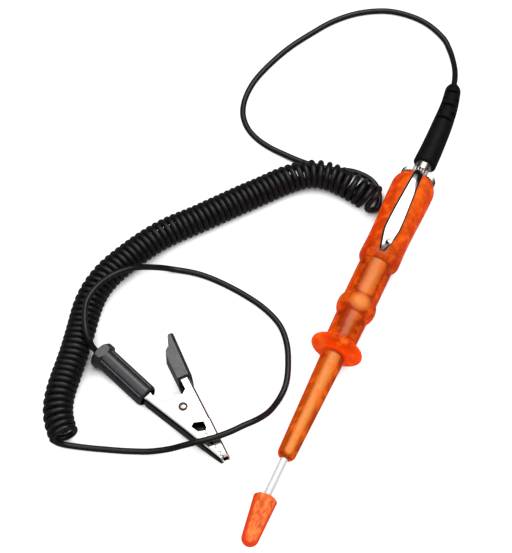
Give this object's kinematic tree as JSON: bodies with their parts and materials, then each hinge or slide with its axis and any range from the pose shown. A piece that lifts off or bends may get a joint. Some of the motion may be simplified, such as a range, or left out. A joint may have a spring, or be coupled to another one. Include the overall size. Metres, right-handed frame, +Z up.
{
  "type": "circuit tester",
  "caption": "Lamp probe for vehicle wiring: clear handle with pocket clip, finger guard, capped needle, and a coiled lead that ends in a crocodile clip.",
  "frame": {"origin": "on the table, under the middle of the tester from its ferrule to its tip cap", "axes": "+X along the tester towards its cord end, +Z up, +Y towards the coiled lead and the clip"},
  "size_m": [0.2232, 0.1003, 0.0184],
  "materials": {
    "handle_orange": "clear orange moulding, polished",
    "tip_cap_orange": "soft vinyl, satin",
    "nickel": "nickel plate, knurled rim",
    "clip_chrome": "bright chrome plate",
    "needle_steel": "polished plated steel",
    "spring_steel": "drawn wire",
    "brass": "turned brass",
    "copper": "bare copper strands",
    "lamp_glass": "clear lamp glass",
    "jaw_steel": "nickel-plated sheet",
    "black_sleeve": "soft black vinyl, moulded",
    "cord_jacket": "smooth black jacket"
  },
  "bodies": {
    "root": {"handle_shell": "handle_orange", "probe_barrel": "handle_orange", "end_cap": "nickel", "pocket_clip": "clip_chrome", "cord_ferrule": "nickel", "cord_pin": "brass", "lamp_spring": "spring_steel", "bulb_glass": "lamp_glass", "bulb_base": "brass", "lamp_holder": "brass", "contact_spring": "spring_steel", "probe_needle": "needle_steel", "strain_relief": "black_sleeve", "lead_tail_handle": "cord_jacket", "lead_coil": "cord_jacket", "lead_tail_clip": "cord_jacket", "clip_conductor": "copper", "clip_sleeve_cord": "black_sleeve", "clip_jaw_fixed": "jaw_steel", "clip_rivet": "jaw_steel", "clip_spring": "spring_steel"},
    "clip_jaw": {"clip_jaw_moving": "jaw_steel", "clip_sleeve_thumb": "black_sleeve"},
    "tip_cap": {"tip_cap": "tip_cap_orange"}
  },
  "joints": [
    {"name": "clip_jaw_hinge", "type": "hinge", "parent": "root", "child": "clip_jaw", "pos_m": [-0.0448, 0.0391, 0.004], "axis": [0, 0, 1], "range_deg": [0, 30], "stiffness_Nm_per_rad": 0.04, "springref_deg": -68.75, "deforming": ["clip_spring"]},
    {"name": "tip_cap_slide", "type": "slide", "parent": "root", "child": "tip_cap", "axis": [-0.9998, 0, 0.0201], "range_m": [0, 0.015]}
  ]
}
